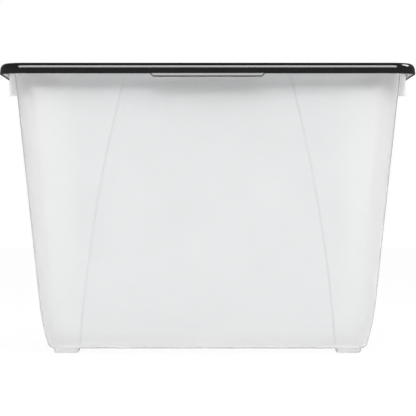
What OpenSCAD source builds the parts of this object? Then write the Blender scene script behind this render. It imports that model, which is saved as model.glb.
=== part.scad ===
// Portable file box: a translucent drafted tub with end grips and four hollow feet,
// and a lift-off lid with opening lips, a stacking recess and a locating rib.
// Millimetres. +Z is up, +X is the long side, and the front faces -Y.
// The origin is on the ground, under the middle of the box.

/* [Overall] */
// Length of the lid, the longest side
lid_l = 400; // [360:1:440]
// Depth of the lid from front to back, without its lips
lid_w = 300; // [270:1:340]
// Height from the ground to the top of the lid
box_h = 280; // [200:1:330]

/* [Lid] */
// Thickness of the lid
lid_t = 2; // [1.6:0.1:2.4]
// Height of the skirt, with the shoulder above it
skirt_h = 10.5; // [10:0.5:14]
// How far the skirt flares out at its foot
skirt_flare = 0.4; // [0:0.1:0.6]
// Corner radius, seen from above
lid_r = 25; // [23:1:32]
// Width of the rounded shoulder
shoulder_w = 6; // [5.5:0.5:8]
// Height of the rounded shoulder
shoulder_h = 6.5; // [5.5:0.5:8]
// Depth of the recess that the feet of another box stand in
recess_h = 4; // [2:0.5:5]
// Corner radius of the recess
recess_r = 20; // [10:1:26]
// Depth of the locating rib below the roof of the lid
plug_h = 6; // [4:0.5:8]
// Thickness of the locating rib
plug_t = 1.6; // [1.2:0.1:2]

/* [Opening lips] */
// Length of each lip, where it leaves the skirt
lip_l = 109; // [60:1:140]
// Length that the slanted ends take off at the tip
lip_end = 3.3; // [1:0.1:6]
// Reach of the lip in front of the skirt
lip_out = 2.2; // [1.5:0.1:5]
// Drop of the lip below the skirt
lip_drop = 3.1; // [2:0.1:6]
// Thickness of the lip
lip_t = 1.1; // [0.8:0.1:1.8]

/* [Rim] */
// Overhang of the rim beyond the wall
rim_w = 10; // [8:0.1:12]
// Thickness of the rim
rim_t = 2; // [1.6:0.1:2.4]
// Height of the turned-down edge
rim_h = 8.2; // [6.4:0.1:9]
// Rounding of the rim's inner edge
rim_round = 0.8; // [0.4:0.1:0.9]

/* [Tub] */
// Thickness of the walls and the floor
wall = 2; // [1.6:0.1:2.4]
// Slope of the walls
draft = 5.83; // [3:0.01:7]
// Corner radius of the wall under the rim
wall_r_top = 22; // [18:1:28]
// Corner radius of the wall at the base
wall_r_base = 13; // [10:1:18]
// Radius of the sweep that draws the wall in at its foot
cove_r = 235; // [120:5:300]
// Slope of the wall where the sweep meets the floor edge
cove_slope = 16; // [12:1:24]
// Radius of the floor edge
base_r = 6; // [4:0.5:8]

/* [Recessed panels] */
// Step from the corner areas in to the front and back panels
panel_step = 0.8; // [0.3:0.1:1.2]
// Width of the sloping face of that step
panel_edge = 1.8; // [1:0.1:3]
// Length of the panel under the rim
panel_top_l = 155; // [100:1:180]
// Length of the panel at the floor
panel_base_l = 248; // [200:1:260]
// Bulge of the panel's curved sides
panel_bow = 6.6; // [0:0.1:12]
// Height over which the step fades out above the floor
panel_fade = 16; // [8:1:30]

/* [End grips] */
// Length of each grip
grip_l = 163; // [110:1:180]
// Depth of the grip below the top of the rim
grip_h = 26.7; // [18:0.1:34]
// Thickness of the grip
grip_t = 1.8; // [1.4:0.1:2.2]
// Slope of the grip's outer face
grip_slope = 0.8; // [0:0.1:4]
// Rounding of the grip's lower corners
grip_r = 3; // [1:0.5:6]
// Rise of the grip's lower edge between those corners
grip_bow = 5; // [0:0.5:8]

/* [Feet] */
// Length and depth of each foot
foot_l = 24; // [16:1:34]
// Height of the feet
foot_h = 4.6; // [3:0.1:8]
// Amount that a foot draws in towards its sole
foot_taper = 2.4; // [1:0.1:4]
// Corner radius of each foot
foot_r = 6; // [4:0.5:8]
// Distance of the feet from the edge of the flat floor
foot_set = 1; // [0:0.5:4]

/* [Clearances] */
// Gap under the roof of the closed lid
seat_gap = 0.2; // [0.1:0.05:0.4]
// Gap between the rim and the lid's skirt
rim_gap = 0.8; // [0.5:0.1:1.2]
// Gap between the locating rib and the wall
plug_gap = 0.6; // [0.3:0.1:1]
// Gap round the feet of a box that stands in the recess
stack_gap = 3; // [1:0.5:6]

/* [Hidden] */

tub_colour = [0.93, 0.94, 0.95, 0.55];
lid_colour = [0.06, 0.06, 0.065];

corner_steps = 8;
wall_steps = 7;
cove_steps = 4;
edge_steps = 4;
rim_steps = 4;
shoulder_steps = 10;
bow_steps = 8;
weld = 0.4;

// Heights, from the ground up
floor_z = foot_h;
rim_top = box_h - lid_t - seat_gap;
rim_under = rim_top - rim_t;
rim_foot = rim_top - rim_h;
grip_foot = rim_top - grip_h;
skirt_foot = box_h - skirt_h;
roof_z = box_h - lid_t;

// Half lengths. A half depth is always less by the same amount.
side_less = (lid_l - lid_w) / 2;
rim_x = lid_l / 2 - skirt_flare - lid_t - rim_gap;
rim_r = lid_r - (lid_l / 2 - rim_x);
wall_x = rim_x - rim_w;

// The wall's outline runs in one flow: straight draft, then the sweep, then the floor edge.
// Both arcs are told by the slope of the wall below the horizontal.
cove_top = floor_z + base_r + (cove_r - base_r) * sin(cove_slope) - cove_r * sin(draft);
cove_x = wall_x - (rim_under - cove_top) * tan(draft);
cove_c = [cove_x - cove_r * cos(draft), cove_top + cove_r * sin(draft)];
edge_c = cove_c + (cove_r - base_r) * [cos(cove_slope), -sin(cove_slope)];

// Point on an arc, at the slope a
function on_arc(c, r, a) = c + r * [cos(a), -sin(a)];
function between(a, b, t) = a + (b - a) * t;
function clamp01(t) = min(1, max(0, t));

// Corner radius of the wall's outer face at height z
function wall_r(z) = between(wall_r_base, wall_r_top, clamp01((z - floor_z) / (rim_under - floor_z)));

// A ring is [half length, height, corner radius, share of the panel step].
function on_wall(p, inset) = [p.x, p.y, wall_r(p.y) - inset, 1];
function straight_wall(inset, top) = [
    for (i = [0 : wall_steps])
        let (z = between(cove_top, top, i / wall_steps),
             x = cove_x + (z - cove_top) * tan(draft) - inset / cos(draft))
        on_wall([x, z], inset)
];
function cove(inset) = [
    for (i = [0 : cove_steps - 1])
        on_wall(on_arc(cove_c, cove_r - inset, between(cove_slope, draft, i / cove_steps)), inset)
];
function floor_edge(inset) = [
    for (i = [0 : edge_steps - 1])
        let (a = between(90, cove_slope, i / edge_steps),
             p = on_arc(edge_c, base_r - inset, a),
             start = on_arc(edge_c, base_r - inset, cove_slope))
        [p.x, p.y, wall_r(start.y) - inset - (start.x - p.x), 0]
];
function skin(inset, top) = concat(floor_edge(inset), cove(inset), straight_wall(inset, top));

// The rolled rim follows the inside of the lid's shoulder, as a quarter ellipse that turns down.
// Going round it leads from the wall's outer face over the top to its inner face.
roll_c = [lid_l / 2 - skirt_flare - shoulder_w, box_h - shoulder_h];
function roll(inset, a) =
    roll_c + [(rim_x - roll_c.x - inset) * cos(a), (rim_top - roll_c.y - inset) * sin(a)];
function rim_ring(p) = [p.x, p.y, rim_r - (rim_x - p.x), 0];
inner_x = wall_x - wall / cos(draft) + rim_t * tan(draft);
rim = concat(
    [for (i = [rim_steps : -1 : 0]) rim_ring(roll(rim_t, 90 * i / rim_steps))],
    [rim_ring([rim_x - rim_t, rim_foot]), rim_ring([rim_x, rim_foot])],
    [for (i = [0 : rim_steps]) rim_ring(roll(0, 90 * i / rim_steps))],
    [
        [inner_x + rim_round, rim_top, wall_r_top - wall + rim_round, 1],
        [inner_x + rim_round * (1 - cos(45)), rim_top - rim_round * (1 - sin(45)), wall_r_top - wall, 1]
    ]
);

// Half length of the recessed panel at height z
function panel_x(z) =
    let (t = clamp01((z - floor_z) / (rim_under - floor_z)))
    between(panel_base_l, panel_top_l, t) / 2 + 4 * panel_bow * t * (1 - t);
function step_at(ring) = ring[3] * panel_step * clamp01((ring.y - floor_z - wall) / panel_fade - 0.4);

// Plan outline of one ring: four rounded corners, and the panel's step on the front and the back
function arc_points(c, r, a) = [
    for (i = [0 : corner_steps])
        let (b = a + 90 * i / corner_steps)
        c + r * [cos(b), sin(b)]
];
function outline(hx, hy, r, inner, outer, step) = concat(
    arc_points([hx - r, hy - r], r, 0),
    [[outer, hy], [inner, hy - step], [-inner, hy - step], [-outer, hy]],
    arc_points([-hx + r, hy - r], r, 90),
    arc_points([-hx + r, -hy + r], r, 180),
    [[-outer, -hy], [-inner, -hy + step], [inner, -hy + step], [outer, -hy]],
    arc_points([hx - r, -hy + r], r, 270)
);
function ring_points(ring) =
    let (px = panel_x(ring.y))
    [
        for (p = outline(ring.x, ring.x - side_less, ring[2], px - panel_edge / 2, px + panel_edge / 2,
                         step_at(ring)))
            [p.x, p.y, ring.y]
    ];

// Skins a stack of outlines that all have as many points, and closes both ends
module loft(stack) {
    n = len(stack[0]);
    last = len(stack) - 1;
    sides = [
        for (i = [0 : last - 1])
            for (j = [0 : n - 1])
                let (a = i * n + j, b = i * n + (j + 1) % n)
                each [[a, a + n, b + n], [a, b + n, b]]
    ];
    floor_cap = [[for (j = [0 : n - 1]) j]];
    top_cap = [[for (j = [n - 1 : -1 : 0]) last * n + j]];
    polyhedron(points = [for (s = stack) each s], faces = concat(sides, floor_cap, top_cap), convexity = 6);
}

function reversed(list) = [for (i = [len(list) - 1 : -1 : 0]) list[i]];

// Walls, floor and rim as one unbroken skin, out over the rim and back down the inside
module shell() {
    rings = concat(skin(0, rim_under), rim, reversed(skin(wall, rim_top - rim_round)));
    loft([for (r = rings) ring_points(r)]);
}

// Plain rounded rectangle at height z, round the centre c
function pad(c, h, r, z) = [
    for (k = [0 : 3])
        for (p = arc_points([k == 0 || k == 3 ? h.x - r : r - h.x, k < 2 ? h.y - r : r - h.y], r, 90 * k))
            [c.x + p.x, c.y + p.y, z]
];

// One foot, or the pocket inside it when it is taken in by the wall
foot_c = [edge_c.x - foot_set - foot_l / 2, edge_c.x - side_less - foot_set - foot_l / 2];
module foot_form(inset, low, top) {
    half = foot_l / 2 - inset;
    corner = foot_r - inset;
    loft([
        for (t = [0, 0.5, 1])
            let (h = half - foot_taper * pow(1 - t, 2))
            pad(foot_c, [h, h], corner, between(low, top, t))
    ]);
}

module at_corners() {
    for (sx = [0, 1])
        for (sy = [0, 1])
            mirror([sx, 0, 0])
                mirror([0, sy, 0])
                    children();
}

// The deep part of the rim at one end: a drafted skirt with a web at each side
grip_x = rim_x - rim_t;
module end_grip() {
    drop = rim_under - grip_foot;
    lean = drop * tan(grip_slope);
    wall_at_foot = wall_x - drop * tan(draft);
    core = rim_t / 2;
    face = [
        [grip_x - grip_t, rim_under - weld],
        roll(core, 45),
        roll(core, 20),
        [rim_x - core, rim_foot + weld],
        [grip_x, rim_foot - weld],
        [grip_x - lean, grip_foot],
        [grip_x - lean - grip_t, grip_foot]
    ];
    web = [
        roll(core, 90),
        roll(core, 45),
        [grip_x - weld, rim_foot],
        [grip_x - lean - weld, grip_foot],
        [wall_at_foot - wall / 2, grip_foot],
        [wall_x - wall / 2, rim_under + weld]
    ];
    intersection() {
        union() {
            translate([0, grip_l / 2, 0])
                rotate([90, 0, 0])
                    linear_extrude(height = grip_l)
                        polygon(face);
            for (y = [-grip_l / 2 + grip_t, grip_l / 2])
                translate([0, y, 0])
                    rotate([90, 0, 0])
                        linear_extrude(height = grip_t)
                            polygon(web);
        }
        translate([wall_at_foot - wall, 0, 0])
            rotate([90, 0, 90])
                linear_extrude(height = rim_x - wall_at_foot)
                    grip_outline();
    }
}

// Outline of the grip seen from the end: two rounded lower corners, and an arched edge between them
module grip_outline() {
    half = grip_l / 2;
    bow_x = half - 2 * grip_r;
    difference() {
        union() {
            translate([-half, grip_foot + grip_r])
                square([grip_l, rim_top - grip_foot - grip_r]);
            translate([-half + grip_r, grip_foot])
                square([grip_l - 2 * grip_r, grip_r * 2]);
            for (s = [-1, 1])
                translate([s * (half - grip_r), grip_foot + grip_r])
                    circle(r = grip_r, $fn = 32);
        }
        polygon(concat(
            [[bow_x, grip_foot - 1], [-bow_x, grip_foot - 1]],
            [for (t = [-1 : 1 / bow_steps : 1]) [t * bow_x, grip_foot + grip_bow * (1 - t * t)]]
        ));
    }
}

module tote_body() {
    color(tub_colour)
        difference() {
            union() {
                shell();
                at_corners() foot_form(0, 0, floor_z + wall / 2);
                end_grip();
                mirror([1, 0, 0]) end_grip();
            }
            at_corners() foot_form(wall, wall, floor_z + wall + weld);
        }
}

// Sweeps a profile round a rounded rectangle. Its points are [inset from that outline, height].
module swept(profile, side_x, r) {
    side_y = side_x - side_less;
    for (k = [0, 1])
        mirror([0, k, 0]) {
            translate([r - side_x, 0, 0])
                rotate([90, 0, 90])
                    linear_extrude(height = 2 * (side_x - r))
                        polygon([for (p = profile) [side_y - p.x, p.y]]);
            for (m = [0, 1])
                mirror([m, 0, 0])
                    translate([side_x - r, side_y - r, 0])
                        rotate_extrude(angle = 90, $fn = 64)
                            polygon([for (p = profile) [r - p.x, p.y]]);
        }
    for (k = [0, 1])
        mirror([k, 0, 0])
            translate([0, side_y - r, 0])
                rotate([90, 0, 0])
                    linear_extrude(height = 2 * (side_y - r))
                        polygon([for (p = profile) [side_x - p.x, p.y]]);
}

// The shoulder is a quarter ellipse, and its inside lies one thickness within it.
function shoulder(inset) = [
    for (i = [0 : shoulder_steps])
        let (a = 90 * i / shoulder_steps)
        [skirt_flare + shoulder_w - (shoulder_w - inset) * cos(a),
         box_h - shoulder_h + (shoulder_h - inset) * sin(a)]
];
border_x = skirt_flare + shoulder_w + 2;
skirt_profile = concat(
    [[0, skirt_foot], [0, skirt_foot + weld]],
    shoulder(0),
    [[border_x, box_h], [border_x, roof_z]],
    reversed(shoulder(lid_t)),
    [[lid_t, skirt_foot + weld], [lid_t, skirt_foot]]
);

// The rib hangs from the roof just inside the wall, which leans in below the rim.
plug_foot = roof_z - plug_h;
plug_x = wall_x - wall / cos(draft) - (rim_under - plug_foot) * tan(draft) - plug_gap - panel_step;
plug_profile = [
    [0, roof_z + weld],
    [0, plug_foot + plug_t / 2],
    [plug_t / 4, plug_foot],
    [plug_t, plug_foot],
    [plug_t, roof_z + weld]
];

// Half sizes of the recess, from the feet that it takes
recess_x = foot_c.x + foot_l / 2 + stack_gap;
recess_y = foot_c.y + foot_l / 2 + stack_gap;
module rounded_plate(hx, hy, r, low, high) {
    translate([0, 0, low])
        linear_extrude(height = high - low) {
            square([2 * hx, 2 * (hy - r)], center = true);
            square([2 * (hx - r), 2 * hy], center = true);
            for (sx = [-1, 1])
                for (sy = [-1, 1])
                    translate([sx * (hx - r), sy * (hy - r)])
                        circle(r = r, $fn = 64);
        }
}

// One opening lip, flared out and down from the middle of the skirt's front edge
module opening_lip() {
    front = lid_w / 2;
    profile = [
        [front - lid_t, skirt_foot],
        [front - lid_t, skirt_foot + lip_t],
        [front, skirt_foot + lip_t],
        [front + lip_out, skirt_foot - lip_drop + lip_t],
        [front + lip_out, skirt_foot - lip_drop],
        [front, skirt_foot]
    ];
    half = lip_l / 2;
    intersection() {
        translate([-half, 0, 0])
            rotate([90, 0, 90])
                linear_extrude(height = lip_l)
                    polygon(profile);
        translate([0, 0, skirt_foot - 2 * lip_drop])
            linear_extrude(height = 3 * lip_drop + lip_t)
                polygon([
                    [-half, front - lid_t], [half, front - lid_t], [half, front],
                    [half - lip_end, front + lip_out], [lip_end - half, front + lip_out], [-half, front]
                ]);
    }
}

module lid() {
    well = box_h - recess_h;
    color(lid_colour) {
        difference() {
            union() {
                swept(skirt_profile, lid_l / 2, lid_r);
                rounded_plate(lid_l / 2 - border_x + 1, lid_w / 2 - border_x + 1, lid_r - border_x + 1,
                              roof_z, box_h);
                rounded_plate(recess_x + lid_t, recess_y + lid_t, recess_r + lid_t, well - lid_t, box_h - lid_t / 2);
            }
            rounded_plate(recess_x, recess_y, recess_r, well, box_h + 1);
        }
        swept(plug_profile, plug_x, wall_r_top - wall);
        opening_lip();
        mirror([0, 1, 0]) opening_lip();
    }
}

tote_body();
lid();
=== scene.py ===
import math

import bmesh
import bpy
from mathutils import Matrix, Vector


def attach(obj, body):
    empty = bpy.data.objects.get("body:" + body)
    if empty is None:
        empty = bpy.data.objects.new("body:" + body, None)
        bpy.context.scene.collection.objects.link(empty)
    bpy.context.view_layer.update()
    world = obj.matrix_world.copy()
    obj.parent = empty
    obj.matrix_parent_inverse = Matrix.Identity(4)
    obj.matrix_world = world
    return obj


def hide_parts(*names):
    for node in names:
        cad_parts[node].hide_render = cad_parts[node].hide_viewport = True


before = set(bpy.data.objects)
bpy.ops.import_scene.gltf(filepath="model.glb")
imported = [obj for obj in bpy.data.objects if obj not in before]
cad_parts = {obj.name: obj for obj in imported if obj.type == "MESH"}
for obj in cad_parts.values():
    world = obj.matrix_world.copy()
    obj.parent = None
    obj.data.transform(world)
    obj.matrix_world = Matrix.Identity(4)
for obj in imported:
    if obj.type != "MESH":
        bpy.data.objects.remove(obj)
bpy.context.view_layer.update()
bpy.ops.object.select_all(action="DESELECT")

MM = 0.001

# Driving sizes of the moulded pieces, in millimetres
LID_L, LID_W, BOX_H = 400, 300, 280
SIDE_LESS = (LID_L - LID_W) / 2
LID_T, SKIRT_H, SKIRT_FLARE, LID_R = 2, 10.5, 0.4, 25
SHOULDER_W, SHOULDER_H = 6, 6.5
RECESS_H, RECESS_R, STACK_GAP = 4, 20, 2
PLUG_H, PLUG_T = 6, 1.6
LIP_L, LIP_T = 109, 1.1
LIP_STEPS = (  # out, down, shorter at each end, share of its thickness left
    (0.1, 1.0, 0.3, 1), (0.93, 2.2, 2.1, 1), (1.17, 0.4, 0.9, 0.55),
)
RIM_W, RIM_T, RIM_H = 10, 2, 8.2
WALL, DRAFT = 2, math.radians(5.83)
WALL_R_TOP, WALL_R_BASE = 22, 13
COVE_R, COVE_SLOPE, BASE_R = 235, math.radians(16), 6
PANEL_STEP, PANEL_TOP_L, PANEL_BASE_L, PANEL_BOW, PANEL_FADE = 0.8, 155, 248, 6.6, 16
GRIP_L, GRIP_H, GRIP_T, GRIP_R, GRIP_BOW, GRIP_SLOPE = 163, 26.7, 1.8, 3, 5, math.radians(0.8)
FOOT_L, FOOT_H, FOOT_TAPER, FOOT_R, FOOT_SET = 25, 4.6, 1.2, 4, 0
SEAT_GAP, RIM_GAP, PLUG_GAP = 0.2, 0.8, 0.6

# What follows from them
RIM_TOP = BOX_H - LID_T - SEAT_GAP
RIM_UNDER = RIM_TOP - RIM_T
RIM_FOOT = RIM_TOP - RIM_H
GRIP_FOOT = RIM_TOP - GRIP_H
SKIRT_FOOT = BOX_H - SKIRT_H
ROOF = BOX_H - LID_T
RIM_X = LID_L / 2 - SKIRT_FLARE - LID_T - RIM_GAP
RIM_R = LID_R - (LID_L / 2 - RIM_X)
WALL_X = RIM_X - RIM_W
ROLL_X, ROLL_Z = LID_L / 2 - SKIRT_FLARE - SHOULDER_W, BOX_H - SHOULDER_H
COVE_TOP = FOOT_H + BASE_R + (COVE_R - BASE_R) * math.sin(COVE_SLOPE) - COVE_R * math.sin(DRAFT)
COVE_X = WALL_X - (RIM_UNDER - COVE_TOP) * math.tan(DRAFT)
COVE_CX, COVE_CZ = COVE_X - COVE_R * math.cos(DRAFT), COVE_TOP + COVE_R * math.sin(DRAFT)
EDGE_CX = COVE_CX + (COVE_R - BASE_R) * math.cos(COVE_SLOPE)
EDGE_CZ = COVE_CZ - (COVE_R - BASE_R) * math.sin(COVE_SLOPE)
FOOT_CX = EDGE_CX - FOOT_SET - FOOT_L / 2


# ---------------------------------------------------------------- modelling helpers

def mix(a, b, t):
    return a + (b - a) * t


def clamp01(t):
    return min(1.0, max(0.0, t))


def deselect():
    if bpy.context.mode != "OBJECT":
        bpy.ops.object.mode_set(mode="OBJECT")
    bpy.ops.object.select_all(action="DESELECT")


def edit(piece):
    deselect()
    bpy.context.view_layer.objects.active = piece
    piece.select_set(True)
    bpy.ops.object.mode_set(mode="EDIT")
    bpy.ops.mesh.select_all(action="DESELECT")


def pick(piece, want, kind="verts"):
    """Selects the vertices, edges or faces of a piece in edit mode that want() says yes to."""
    bpy.ops.mesh.select_all(action="DESELECT")
    bpy.ops.mesh.select_mode(type={"verts": "VERT", "edges": "EDGE", "faces": "FACE"}[kind])
    bm = bmesh.from_edit_mesh(piece.data)
    for part in getattr(bm, kind):
        if want(part):
            part.select = True
    bm.select_flush_mode()
    bmesh.update_edit_mesh(piece.data)


def apply_modifier(piece, kind, **settings):
    deselect()
    bpy.context.view_layer.objects.active = piece
    piece.select_set(True)
    modifier = piece.modifiers.new(kind.lower(), kind)
    for name, value in settings.items():
        setattr(modifier, name, value)
    bpy.ops.object.modifier_apply(modifier=modifier.name)


def join(name, pieces):
    deselect()
    for piece in pieces:
        piece.select_set(True)
    bpy.context.view_layer.objects.active = pieces[0]
    bpy.ops.object.join()
    whole = bpy.context.view_layer.objects.active
    whole.name = name
    return whole


def boolean(piece, tool, operation):
    apply_modifier(piece, "BOOLEAN", object=tool, operation=operation, solver="EXACT")
    bpy.data.objects.remove(tool, do_unlink=True)


def ring(half_x, z, radius, segments, stations=()):
    """One rounded outline as a closed loop of edges. Each station is (x, step inwards) on the long sides."""
    half_y = half_x - SIDE_LESS
    bpy.ops.object.select_all(action="DESELECT")
    bpy.ops.mesh.primitive_plane_add(size=2, location=(0, 0, z * MM))
    loop = bpy.context.object
    loop.scale = (half_x * MM, half_y * MM, 1)
    bpy.ops.object.transform_apply(location=True, rotation=True, scale=True)
    edit(loop)
    for x, _ in stations:
        bpy.ops.mesh.select_all(action="SELECT")
        bpy.ops.mesh.bisect(plane_co=(x * MM, 0, z * MM), plane_no=(1, 0, 0))
    pick(loop, lambda v: abs(abs(v.co.x) - half_x * MM) < 1e-7)
    bpy.ops.mesh.bevel(offset=radius * MM, offset_type="OFFSET", segments=segments,
                       affect="VERTICES", profile=0.5, clamp_overlap=False)
    bpy.ops.mesh.select_all(action="SELECT")
    bpy.ops.mesh.delete(type="ONLY_FACE")
    if stations:
        pick(loop, lambda e: e.verts[0].co.y * e.verts[1].co.y < 0
             and abs(e.verts[0].co.x - e.verts[1].co.x) < 1e-7
             and abs(e.verts[0].co.x) < (half_x - radius) * MM, "edges")
        bpy.ops.mesh.delete(type="EDGE")
    for x, step in stations:
        for side in (1, -1):
            if step > 0:
                pick(loop, lambda v: abs(v.co.x - x * MM) < 1e-6 and v.co.y * side > 0)
                bpy.ops.transform.translate(value=(0, -side * step * MM, 0))
    bpy.ops.object.mode_set(mode="OBJECT")
    return loop


def bridge(name, loops, caps):
    """Joins a stack of equal loops into one skin, pair by pair. caps names which ends are closed."""
    for k, loop in enumerate(loops):
        order = loop.data.attributes.new("order", "INT", "POINT")
        order.data.foreach_set("value", [k] * len(loop.data.vertices))
    last = len(loops) - 1
    skin = join(name, loops)
    edit(skin)

    def select_loops(wanted):
        layer = bmesh.from_edit_mesh(skin.data).verts.layers.int["order"]
        pick(skin, lambda v: v[layer] in wanted)

    for k in range(last):
        select_loops((k, k + 1))
        bpy.ops.mesh.bridge_edge_loops()
    for end, k in (("first", 0), ("last", last)):
        if end in caps:
            select_loops((k,))
            bpy.ops.mesh.edge_face_add()
    bpy.ops.mesh.select_all(action="SELECT")
    bpy.ops.mesh.normals_make_consistent(inside=False)
    bpy.ops.object.mode_set(mode="OBJECT")
    skin.data.attributes.remove(skin.data.attributes["order"])
    return skin


def section_skin(name, section, segments):
    """A closed skin from (x, z, corner radius, step share) rows. Loops in one plane are set just apart."""
    loops, last_z = [], None
    for x, z, radius, share in section:
        if last_z is not None and abs(z - last_z) < 0.01:
            z -= 0.02
        loops.append(ring(x, z, radius, segments, panel_stations(z, share) if share is not None else ()))
        last_z = z
    return bridge(name, loops, ("first", "last"))


# ---------------------------------------------------------------- the tub

def wall_r(z):
    return mix(WALL_R_BASE, WALL_R_TOP, clamp01((z - FOOT_H) / (RIM_UNDER - FOOT_H)))


def panel_stations(z, full):
    """The curved edge of the recessed panel at height z: a soft step, the same at both ends of it."""
    t = clamp01((z - FOOT_H) / (RIM_UNDER - FOOT_H))
    edge = mix(PANEL_BASE_L, PANEL_TOP_L, t) / 2 + 4 * PANEL_BOW * t * (1 - t)
    step = full * PANEL_STEP * clamp01((z - FOOT_H - WALL) / PANEL_FADE - 0.4)
    across = ((-2.2, 1.0), (-0.9, 0.94), (0.0, 0.5), (0.9, 0.06), (2.2, 0.0))
    return [(sign * (edge + x), share * step) for sign in (1, -1) for x, share in across]


def arc(cx, cz, rx, rz, start, end, steps):
    """Points round an ellipse in the profile, from one angle to another in degrees."""
    angles = [math.radians(mix(start, end, i / steps)) for i in range(steps + 1)]
    return [(cx + rx * math.cos(a), cz + rz * math.sin(a)) for a in angles]


def wall_profile(inset):
    """One face of the tub from its floor up to the top of its wall, as (x, z, corner radius, step share)."""
    slope, draft = math.degrees(COVE_SLOPE), math.degrees(DRAFT)
    points = arc(EDGE_CX, EDGE_CZ, BASE_R - inset, BASE_R - inset, -90, -slope, 6)[:-1]
    points += arc(COVE_CX, COVE_CZ, COVE_R - inset, COVE_R - inset, -slope, -draft, 8)[:-1]
    lean, top = math.tan(DRAFT), RIM_UNDER if inset == 0 else RIM_TOP - 1
    foot_x, foot_z = COVE_X - inset * math.cos(DRAFT), COVE_TOP + inset * math.sin(DRAFT)
    points += [(mix(foot_x, foot_x + (top - foot_z) * lean, i / 14), mix(foot_z, top, i / 14))
               for i in range(15)]
    profile = []
    for i, (x, z) in enumerate(points):
        radius = wall_r(z) - inset
        if i < 6:
            radius = wall_r(points[6][1]) - inset - (points[6][0] - x)
        profile.append((x, z, radius, 0 if i < 6 else 1))
    return profile


def rim_profile():
    """The rolled rim from under its root, down inside its turned edge, round its foot and over its top."""
    inner = arc(ROLL_X, ROLL_Z, RIM_X - ROLL_X - RIM_T, RIM_TOP - ROLL_Z - RIM_T, 90, 0, 7)
    foot_in, foot_out = RIM_X - RIM_T, RIM_X
    foot = [(foot_in, RIM_FOOT + 0.5), (foot_in + 0.15, RIM_FOOT + 0.15), (foot_in + 0.5, RIM_FOOT),
            (foot_out - 0.5, RIM_FOOT), (foot_out - 0.15, RIM_FOOT + 0.15), (foot_out, RIM_FOOT + 0.5)]
    outer = arc(ROLL_X, ROLL_Z, RIM_X - ROLL_X, RIM_TOP - ROLL_Z, 0, 90, 8)
    return [(x, z, RIM_R - (RIM_X - x), 0) for x, z in inner + foot + outer]


def tub_skin():
    """The whole tub as one closed skin: up the outside, over the rolled rim and down the inside."""
    inside = wall_profile(WALL)
    lip_x, lip_z, lip_r, _ = inside[-1]
    edge = [(lip_x + 1 - math.cos(math.radians(a)), lip_z + math.sin(math.radians(a)),
             lip_r + 1 - math.cos(math.radians(a)), 1) for a in (90, 60, 30)]
    return section_skin("tub", wall_profile(0) + rim_profile() + edge + inside[::-1], 14)


def foot_block(sx, sy, inset, low, top):
    """A foot as a closed block, or the pocket inside it when it is taken in by the wall."""
    half = FOOT_L / 2 - inset
    cx, cy = sx * FOOT_CX, sy * (FOOT_CX - SIDE_LESS)
    deselect()
    bpy.ops.mesh.primitive_cube_add(size=1, location=(cx * MM, cy * MM, (low + top) / 2 * MM))
    block = bpy.context.object
    block.scale = (2 * half * MM, 2 * half * MM, (top - low) * MM)
    bpy.ops.object.transform_apply(location=True, rotation=True, scale=True)
    edit(block)
    bpy.ops.mesh.select_all(action="SELECT")
    bpy.ops.mesh.bisect(plane_co=(0, 0, (low + top) / 2 * MM), plane_no=(0, 0, 1))
    for height, taper in ((low, FOOT_TAPER), ((low + top) / 2, FOOT_TAPER / 4)):
        pick(block, lambda v: abs(v.co.z - height * MM) < 1e-6)
        share = (half - taper) / half
        bpy.ops.transform.resize(value=(share, share, 1), center_override=(cx * MM, cy * MM, height * MM))
    pick(block, lambda e: abs(e.verts[0].co.z - e.verts[1].co.z) > 1e-4, "edges")
    bpy.ops.mesh.bevel(offset=(FOOT_R - inset) * MM, segments=6, affect="EDGES")
    pick(block, lambda e: all(v.co.z < low * MM + 1e-6 for v in e.verts), "edges")
    bpy.ops.mesh.bevel(offset=0.9 * MM, segments=3, affect="EDGES")
    bpy.ops.object.mode_set(mode="OBJECT")
    return block


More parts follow.
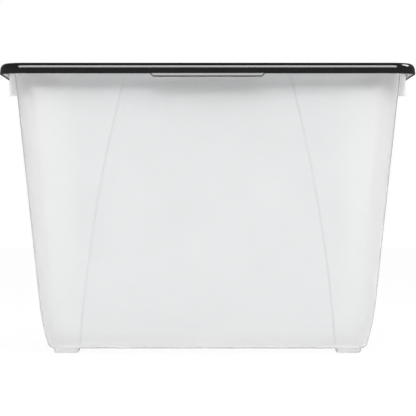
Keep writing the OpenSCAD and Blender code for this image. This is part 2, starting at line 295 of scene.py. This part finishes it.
def grip_skirt(side):
    """The deep part of the rim at one end: an outer face with a web at each side, drawn in lower down."""
    outer, top = RIM_X - RIM_T, RIM_UNDER + 0.8
    inner = WALL_X - (RIM_UNDER - GRIP_FOOT) * math.tan(DRAFT) - WALL / 2
    deselect()
    middle = (side * (outer + inner) / 2 * MM, 0, (top + GRIP_FOOT) / 2 * MM)
    bpy.ops.mesh.primitive_cube_add(size=1, location=middle)
    skirt = bpy.context.object
    skirt.scale = ((outer - inner) * MM, GRIP_L * MM, (top - GRIP_FOOT) * MM)
    bpy.ops.object.transform_apply(location=True, rotation=True, scale=True)
    edit(skirt)
    bpy.ops.mesh.select_all(action="SELECT")
    bpy.ops.mesh.bisect(plane_co=(0, 0, RIM_FOOT * MM), plane_no=(0, 0, 1))
    lean = (RIM_UNDER - GRIP_FOOT) * math.tan(GRIP_SLOPE)
    rise = math.tan(DRAFT)
    for height, is_face, shift in (
        (GRIP_FOOT, True, -lean),
        (top, True, -1.8),
        (RIM_FOOT, False, (RIM_FOOT - GRIP_FOOT) * rise),
        (top, False, (top - GRIP_FOOT) * rise),
    ):
        pick(skirt, lambda v: abs(v.co.z - height * MM) < 1e-6
             and (v.co.x * side > (outer - 1) * MM) == is_face)
        bpy.ops.transform.translate(value=(side * shift * MM, 0, 0))
    pick(skirt, lambda f: abs(f.normal.z) > 0.9 or f.normal.x * side < -0.5, "faces")
    bpy.ops.mesh.delete(type="FACE")
    bow_y = GRIP_L / 2 - 2 * GRIP_R
    stations = [k / 8 for k in range(-8, 9)]
    for share in stations:
        bpy.ops.mesh.select_all(action="SELECT")
        bpy.ops.mesh.bisect(plane_co=(0, share * bow_y * MM, 0), plane_no=(0, 1, 0))
    for share in stations[1:-1]:
        pick(skirt, lambda v: abs(v.co.y - share * bow_y * MM) < 1e-6 and v.co.z < (GRIP_FOOT + 0.5) * MM)
        bpy.ops.transform.translate(value=(0, 0, GRIP_BOW * (1 - share ** 2) * MM))
    pick(skirt, lambda e: all(v.co.x * side > (outer - 3.5) * MM and abs(v.co.y) > (GRIP_L / 2 - 0.1) * MM
                              for v in e.verts), "edges")
    bpy.ops.mesh.bevel(offset=2.4 * MM, segments=6, affect="EDGES")
    bpy.ops.object.mode_set(mode="OBJECT")
    apply_modifier(skirt, "SOLIDIFY", thickness=GRIP_T * MM, offset=-1, use_even_offset=True)
    edit(skirt)
    pick(skirt, lambda e: all(v.co.z < (GRIP_FOOT + GRIP_BOW + 0.5) * MM for v in e.verts)
         and len(e.link_faces) == 2 and e.calc_face_angle() > 0.9
         and abs(e.verts[0].co.z - e.verts[1].co.z) < 1.6 * MM, "edges")
    bpy.ops.mesh.bevel(offset=0.5 * MM, segments=3, affect="EDGES")
    bpy.ops.mesh.select_all(action="SELECT")
    bpy.ops.mesh.normals_make_consistent(inside=False)
    bpy.ops.object.mode_set(mode="OBJECT")
    return skirt


def make_tub():
    tub = tub_skin()
    for sx in (1, -1):
        for sy in (1, -1):
            boolean(tub, foot_block(sx, sy, 0, 0, FOOT_H + WALL / 2), "UNION")
            boolean(tub, foot_block(sx, sy, WALL, WALL, FOOT_H + WALL + 0.5), "DIFFERENCE")
    for side in (1, -1):
        boolean(tub, grip_skirt(side), "UNION")
    return tub


# ---------------------------------------------------------------- the lid

def lid_profile():
    """The lid's section: its recess, border and shoulder, down the skirt and back along the roof."""
    well_x, well_z, soft = FOOT_CX + FOOT_L / 2 + STACK_GAP, BOX_H - RECESS_H, 1.2
    under_x, under_z = well_x + LID_T, BOX_H - RECESS_H - LID_T
    top = [(well_x - soft - 8, well_z)]
    top += arc(well_x - soft, well_z + soft, soft, soft, -90, 0, 4)
    top += arc(well_x + soft, BOX_H - soft, soft, soft, 180, 90, 4)
    top += [(ROLL_X - 5, BOX_H)]
    top += arc(ROLL_X, ROLL_Z, SHOULDER_W, SHOULDER_H, 90, 0, 12)
    skirt_x, foot = LID_L / 2, SKIRT_FOOT
    top += [(skirt_x, foot + 0.6), (skirt_x - 0.18, foot + 0.18), (skirt_x - 0.6, foot)]
    under = [(skirt_x - LID_T + 0.6, foot), (skirt_x - LID_T + 0.18, foot + 0.18),
             (skirt_x - LID_T, foot + 0.6)]
    under += arc(ROLL_X, ROLL_Z, SHOULDER_W - LID_T, SHOULDER_H - LID_T, 0, 90, 10)
    under += [(under_x + 0.6, ROOF), (under_x, ROOF - 0.6),
              (under_x, under_z + 0.6), (under_x - 0.6, under_z)]
    under += [(under_x - 10, under_z)]
    return top + under


def lid_skin():
    section = []
    for x, z in lid_profile():
        well = FOOT_CX + FOOT_L / 2 + STACK_GAP
        border = clamp01((x - well - LID_T) / (LID_L / 2 - 12 - well))
        section.append((x, z, mix(RECESS_R + (x - well), LID_R - (LID_L / 2 - x), border), None))
    return section_skin("lid_top", section, 12)


def plug_rib():
    """The rib that drops inside the rim, as a closed band under the roof of the lid."""
    foot = ROOF - PLUG_H
    x = WALL_X - WALL / math.cos(DRAFT) - (RIM_UNDER - foot) * math.tan(DRAFT) - PLUG_GAP - PANEL_STEP
    r = WALL_R_TOP - WALL
    loops = [ring(x, ROOF + 0.5, r, 10), ring(x, foot + PLUG_T / 2, r, 10), ring(x - PLUG_T / 4, foot, r, 10)]
    band = bridge("plug", loops, ())
    apply_modifier(band, "SOLIDIFY", thickness=PLUG_T * MM, offset=-1, use_even_offset=True)
    return band


def opening_lip(side):
    """The lip in the middle of a long side, which flares out and down from the foot of the skirt."""
    front = LID_W / 2
    deselect()
    low, high = SKIRT_FOOT, SKIRT_FOOT + LIP_T
    bpy.ops.mesh.primitive_cube_add(
        size=1, location=(0, side * (front - LID_T / 2) * MM, (low + high) / 2 * MM))
    lip = bpy.context.object
    lip.scale = (LIP_L * MM, LID_T * MM, LIP_T * MM)
    bpy.ops.object.transform_apply(location=True, rotation=True, scale=True)
    edit(lip)
    pick(lip, lambda f: f.normal.y * side > 0.9, "faces")
    length, face_top = LIP_L, high
    for out, drop, taper, thinner in LIP_STEPS:
        bpy.ops.mesh.extrude_region_move(TRANSFORM_OT_translate={"value": (0, side * out * MM, -drop * MM)})
        share, length, face_top = (length - 2 * taper) / length, length - 2 * taper, face_top - drop
        bpy.ops.transform.resize(value=(share, 1, thinner),
                                 center_override=(0, side * front * MM, face_top * MM))
    pick(lip, lambda e: abs(e.verts[0].co.x - e.verts[1].co.x) < 2.3 * MM
         and e.verts[0].co.x * e.verts[1].co.x > 0
         and any(v.co.y * side > (front + 0.9) * MM for v in e.verts), "edges")
    bpy.ops.mesh.bevel(offset=0.6 * MM, segments=3, affect="EDGES")
    bpy.ops.mesh.select_all(action="SELECT")
    bpy.ops.mesh.normals_make_consistent(inside=False)
    bpy.ops.object.mode_set(mode="OBJECT")
    return lip


def make_lid():
    lid = lid_skin()
    boolean(lid, plug_rib(), "UNION")
    for side in (1, -1):
        boolean(lid, opening_lip(side), "UNION")
    return lid


# ---------------------------------------------------------------- materials

# Tones of the two plastics, from 0 to 1, among them the painted light and painted shade on the clear one
CLOUD_TONES = (0.915, 0.925, 0.93), (0.94, 0.945, 0.95)
# painted light: the pale tone that the ends and the bottom of the tub are lightened to
PAINTED_LIGHT_TONE = (0.99, 0.99, 0.99)
# painted shade: a thin darker band round the base edge
BASE_EDGE_SHADE = (0.95, 0.955, 0.96)
# painted shade in the creases along the curved edges of the panels
CREASE_SHADE = (0.84, 0.85, 0.855)
HAZY_EDGE_TONE, MILKY_EDGE_TONE = (0.1, 0.105, 0.11), (0.6, 0.61, 0.62)
BLACK_TONES = (0.005, 0.005, 0.0055), (0.008, 0.008, 0.0085)
# Where they change, in metres, as Object coordinates are
# painted light: where it starts and is full towards the ends, then low down
PAINTED_LIGHT_ENDS = 0.125, 0.165
PAINTED_LIGHT_FLOOR = 0.026, 0.012
BASE_EDGE = 0.0055, 0.001
# How nearly edge on a rounded wall is seen where it starts to darken, and where it is darkest
EDGE_ON = 0.72, 0.96
# Size of the patterns, as scales of their noise
WAVE_SCALE, GRAIN_SCALE = 26.0, 900.0


def new_material(name):
    material = bpy.data.materials.new(name)
    material.use_nodes = True
    nodes = material.node_tree.nodes
    return material, nodes, material.node_tree.links, nodes["Principled BSDF"]


def mottle(nodes, links, scale, low, high, detail=3.0):
    """Soft random patches over a piece, with values that run from low to high."""
    noise = nodes.new("ShaderNodeTexNoise")
    noise.inputs["Scale"].default_value = scale
    noise.inputs["Detail"].default_value = detail
    links.new(nodes.new("ShaderNodeTexCoord").outputs["Object"], noise.inputs["Vector"])
    return ramp(nodes, links, noise.outputs["Fac"], 0.3, 0.7, low, high)


def maths(nodes, links, operation, *values):
    """One Math node on the given sockets and numbers."""
    node = nodes.new("ShaderNodeMath")
    node.operation = operation
    for socket, value in zip(node.inputs, values):
        if isinstance(value, (int, float)):
            socket.default_value = value
        else:
            links.new(value, socket)
    return node.outputs[0]


def ramp(nodes, links, value, start, end, low=0.0, high=1.0):
    """Goes from low to high while the value goes from start to end."""
    node = nodes.new("ShaderNodeMapRange")
    links.new(value, node.inputs["Value"])
    node.inputs["From Min"].default_value, node.inputs["From Max"].default_value = start, end
    node.inputs["To Min"].default_value, node.inputs["To Max"].default_value = low, high
    return node.outputs[0]


def tint(nodes, links, factor, first, second):
    """One colour that turns into another as the factor goes from 0 to 1."""
    blend = nodes.new("ShaderNodeMix")
    blend.data_type = "RGBA"
    links.new(factor, blend.inputs["Factor"])
    for socket, colour in ((blend.inputs[6], first), (blend.inputs[7], second)):
        if isinstance(colour, tuple):
            socket.default_value = (*colour, 1)
        else:
            links.new(colour, socket)
    return blend.outputs[2]


def moulded_skin(nodes, links, shader, waves, grain):
    """The slow waves a moulding cools into, with the fine grain of the mould's steel over them."""
    normal = None
    for scale, depth, detail in ((WAVE_SCALE, waves, 1.0), (GRAIN_SCALE, grain, 2.0)):
        bump = nodes.new("ShaderNodeBump")
        bump.inputs["Strength"].default_value = 1.0
        bump.inputs["Distance"].default_value = 1.0
        links.new(mottle(nodes, links, scale, 0.0, depth, detail), bump.inputs["Height"])
        if normal:
            links.new(normal, bump.inputs["Normal"])
        normal = bump.outputs["Normal"]
    links.new(normal, shader.inputs["Normal"])


def clear_plastic(name, transmission, edge_tone):
    """Clear plastic in soft clouds, with painted light that pales it low down and at the ends, painted shade
    on the panel creases and round the base edge, and darker on edge-on rounds.
    """
    material, nodes, links, shader = new_material(name)
    tone = tint(nodes, links, mottle(nodes, links, 17.0, 0.0, 1.0), *CLOUD_TONES)
    place = nodes.new("ShaderNodeSeparateXYZ")
    links.new(nodes.new("ShaderNodeTexCoord").outputs["Object"], place.inputs[0])
    from_middle = maths(nodes, links, "ABSOLUTE", place.outputs["X"])
    # painted light: paler towards the ends and low down
    tone = tint(nodes, links, ramp(nodes, links, from_middle, *PAINTED_LIGHT_ENDS), tone, PAINTED_LIGHT_TONE)
    tone = tint(nodes, links, ramp(nodes, links, place.outputs["Z"], *PAINTED_LIGHT_FLOOR), tone, PAINTED_LIGHT_TONE)
    # painted shade: a thin darker band round the base edge
    tone = tint(nodes, links, maths(nodes, links, "COMPARE", place.outputs["Z"], *BASE_EDGE),
                tone, BASE_EDGE_SHADE)
    # painted shade along the curved edges of the panels, where the crease attribute is high
    crease = nodes.new("ShaderNodeAttribute")
    crease.attribute_name = "crease"
    tone = tint(nodes, links, crease.outputs["Fac"], tone, CREASE_SHADE)
    edge = nodes.new("ShaderNodeLayerWeight")
    edge.inputs["Blend"].default_value = 0.5
    edge_on = ramp(nodes, links, edge.outputs["Facing"], *EDGE_ON)
    rounded = nodes.new("ShaderNodeAttribute")
    rounded.attribute_name = "round"
    thick = maths(nodes, links, "MULTIPLY", edge_on, rounded.outputs["Fac"])
    links.new(tint(nodes, links, thick, tone, edge_tone), shader.inputs["Base Color"])
    links.new(mottle(nodes, links, 70.0, 0.12, 0.19), shader.inputs["Roughness"])
    shader.inputs["Transmission Weight"].default_value = transmission
    shader.inputs["IOR"].default_value = 1.49
    moulded_skin(nodes, links, shader, 0.00004, 0.0000025)
    return material


def black_plastic(name, gloss, specular):
    """Black plastic whose roughness wanders between the two values of gloss, as handling leaves it."""
    material, nodes, links, shader = new_material(name)
    tone = tint(nodes, links, mottle(nodes, links, 40.0, 0.0, 1.0), *BLACK_TONES)
    links.new(tone, shader.inputs["Base Color"])
    links.new(mottle(nodes, links, 110.0, *gloss), shader.inputs["Roughness"])
    shader.inputs["Specular IOR Level"].default_value = specular
    moulded_skin(nodes, links, shader, 0.000006, 0.000002)
    return material


def mark_creases_and_rounds(tub):
    """Marks how near each point is to the curved edge of a panel, for the painted shade there, and where the
    tub is rounded.
    """
    crease = tub.data.attributes.new("crease", "FLOAT", "POINT")
    rounded = tub.data.attributes.new("round", "FLOAT", "POINT")
    for vertex in tub.data.vertices:
        turn = math.degrees(math.atan2(abs(vertex.normal.y), abs(vertex.normal.x)))
        if abs(vertex.normal.z) < 0.35:
            rounded.data[vertex.index].value = clamp01(min(turn, 90 - turn) / 5)
        elif abs(vertex.normal.z) < 0.99:
            rounded.data[vertex.index].value = 1
        place = vertex.co / MM
        t = clamp01((place.z - FOOT_H) / (RIM_UNDER - FOOT_H))
        edge = mix(PANEL_BASE_L, PANEL_TOP_L, t) / 2 + 4 * PANEL_BOW * t * (1 - t)
        on_panel_side = abs(place.y) > abs(place.x) - SIDE_LESS and FOOT_H + 4 < place.z < RIM_FOOT
        # the crease attribute carries the painted shade, fading over 1.1 mm either side of the panel edge
        if on_panel_side and abs(place.y) > 90:
            crease.data[vertex.index].value = clamp01(1 - abs(abs(place.x) - edge) / 1.1)


def finish_faces(piece, materials, is_second):
    """Gives a piece its main finish, and the second one on the faces that is_second() picks."""
    piece.data.materials.clear()
    for material in materials:
        piece.data.materials.append(material)
    for face in piece.data.polygons:
        face.material_index = int(is_second(face.center / MM, face.normal))


def on_rim_or_grip(place, normal):
    return place.z > RIM_FOOT - 0.01 and max(abs(place.x), abs(place.y) + SIDE_LESS) > WALL_X + 0.5 \
        or place.z > GRIP_FOOT - 0.01 and abs(place.x) > WALL_X - 3.5 and abs(place.y) < GRIP_L / 2 + 0.1 \
        and abs(place.x) > WALL_X - (RIM_UNDER - place.z) * math.tan(DRAFT) + 0.02


def on_skirt_foot(place, normal):
    return normal.z < -0.5 and place.z < SKIRT_FOOT + 0.5


# ---------------------------------------------------------------- stage, light and camera

def ray_is(nodes, links, names):
    """One where a ray is of one of the named kinds, as Light Path names them."""
    path = nodes.new("ShaderNodeLightPath")
    found = path.outputs[names[0]]
    for name in names[1:]:
        found = maths(nodes, links, "MAXIMUM", found, path.outputs[name])
    return found


def mix_shaders(nodes, links, factor, first, second):
    mixer = nodes.new("ShaderNodeMixShader")
    if isinstance(factor, float):
        mixer.inputs[0].default_value = factor
    else:
        links.new(factor, mixer.inputs[0])
    links.new(first, mixer.inputs[1])
    links.new(second, mixer.inputs[2])
    return mixer.outputs[0]


def set_world():
    """White to the eye, a dim room in reflections, and soft light that is stronger behind and aside."""
    world = bpy.data.worlds.new("studio")
    bpy.context.scene.world = world
    world.use_nodes = True
    nodes, links = world.node_tree.nodes, world.node_tree.links

    def even(strength):
        light = nodes.new("ShaderNodeBackground")
        light.inputs["Color"].default_value = (1, 1, 1, 1)
        light.inputs["Strength"].default_value = strength
        return light.outputs[0]

    split = nodes.new("ShaderNodeSeparateXYZ")
    links.new(nodes.new("ShaderNodeTexCoord").outputs["Generated"], split.inputs[0])
    aside = maths(nodes, links, "ABSOLUTE", split.outputs["X"])
    round_back = maths(nodes, links, "MULTIPLY_ADD", aside, 0.9, split.outputs["Y"])
    soft = mix_shaders(nodes, links, ramp(nodes, links, round_back, -0.5, 0.3), even(0.54), even(0.85))
    room = mix_shaders(nodes, links, ramp(nodes, links, split.outputs["Z"], 0.0, 1.0), even(0.14), even(0.02))
    lit = mix_shaders(nodes, links, ray_is(nodes, links, ["Is Glossy Ray"]), soft, room)
    seen = ray_is(nodes, links, ["Is Camera Ray", "Is Transmission Ray"])
    links.new(mix_shaders(nodes, links, seen, lit, even(1.0)), nodes["World Output"].inputs["Surface"])


def set_floor():
    """A lit white floor that still takes a faint shadow, and is dim in reflections."""
    deselect()
    bpy.ops.mesh.primitive_plane_add(size=12, location=(0, 0, 0))
    floor = bpy.context.object
    floor.name = "floor"
    material, nodes, links, shader = new_material("white floor")
    shader.inputs["Base Color"].default_value = (0.8, 0.8, 0.8, 1)
    shader.inputs["Roughness"].default_value = 0.9
    shader.inputs["Specular IOR Level"].default_value = 0.0

    def glow(strength):
        lit = nodes.new("ShaderNodeEmission")
        lit.inputs["Color"].default_value = (1, 1, 1, 1)
        lit.inputs["Strength"].default_value = strength
        return lit.outputs[0]

    lit = mix_shaders(nodes, links, 0.8, shader.outputs[0], glow(1.55))
    dim = mix_shaders(nodes, links, 0.8, shader.outputs[0], glow(0.3))
    plain = mix_shaders(nodes, links, ray_is(nodes, links, ["Is Glossy Ray"]), lit, dim)
    white = mix_shaders(nodes, links, 0.94, shader.outputs[0], glow(1.0))
    seen = ray_is(nodes, links, ["Is Camera Ray", "Is Transmission Ray"])
    links.new(mix_shaders(nodes, links, seen, plain, white), nodes["Material Output"].inputs["Surface"])
    floor.data.materials.append(material)


def area_light(name, place, target, size_x, size_y, power):
    deselect()
    bpy.ops.object.light_add(type="AREA", location=place)
    light = bpy.context.object
    light.name = name
    light.data.shape = "RECTANGLE"
    light.data.size, light.data.size_y = size_x, size_y
    light.data.energy = power
    away = [t - p for t, p in zip(target, place)]
    light.rotation_mode = "QUATERNION"
    light.rotation_quaternion = Vector(away).to_track_quat("-Z", "Y")


def set_lights():
    area_light("main softbox", (0, -1.409, 1.829), (0, -0.15, 0.275), 2.2, 1.15, 46)
    area_light("right kicker", (1.2, 0.32, 1.44), (0.19, -0.13, 0.277), 0.6, 0.6, 9)


def set_camera():
    scene = bpy.context.scene
    data = bpy.data.cameras.new("camera")
    camera = bpy.data.objects.new("camera", data)
    scene.collection.objects.link(camera)
    data.sensor_width = 36
    data.lens = 201.8
    camera.location = (0.0, -2.370, 0.141)
    camera.rotation_euler = (math.pi / 2, 0, 0)
    data.shift_x, data.shift_y = 0.00096, 0.0007
    scene.camera = camera
    scene.view_settings.view_transform = "Standard"


set_camera()
set_world()
set_floor()
set_lights()

tub = make_tub()
tub.name = "tub_moulding"
mark_creases_and_rounds(tub)
lid = make_lid()
lid.name = "lid_moulding"
milky = (clear_plastic("hazy clear plastic with painted light and shade", 0.7, HAZY_EDGE_TONE),
         clear_plastic("milky rim and grips with painted light and shade", 0.18, MILKY_EDGE_TONE))
black = (black_plastic("glossy black plastic", (0.1, 0.15), 1.0),
         black_plastic("matt black foot of the skirt", (0.5, 0.65), 0.0))
for piece, body, node, slot, materials, is_second in (
    (tub, "tote", "tote_body", "clear_plastic", milky, on_rim_or_grip),
    (lid, "lid", "lid", "black_plastic", black, on_skirt_foot),
):
    deselect()
    bpy.context.view_layer.objects.active = piece
    piece.select_set(True)
    bpy.ops.object.shade_smooth_by_angle(angle=math.radians(35))
    apply_modifier(piece, "WEIGHTED_NORMAL", mode="FACE_AREA", weight=80, keep_sharp=True)
    finish_faces(piece, materials, is_second)
    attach(piece, body)
    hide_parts(node)
    print(piece.name, len(piece.data.polygons), "faces")
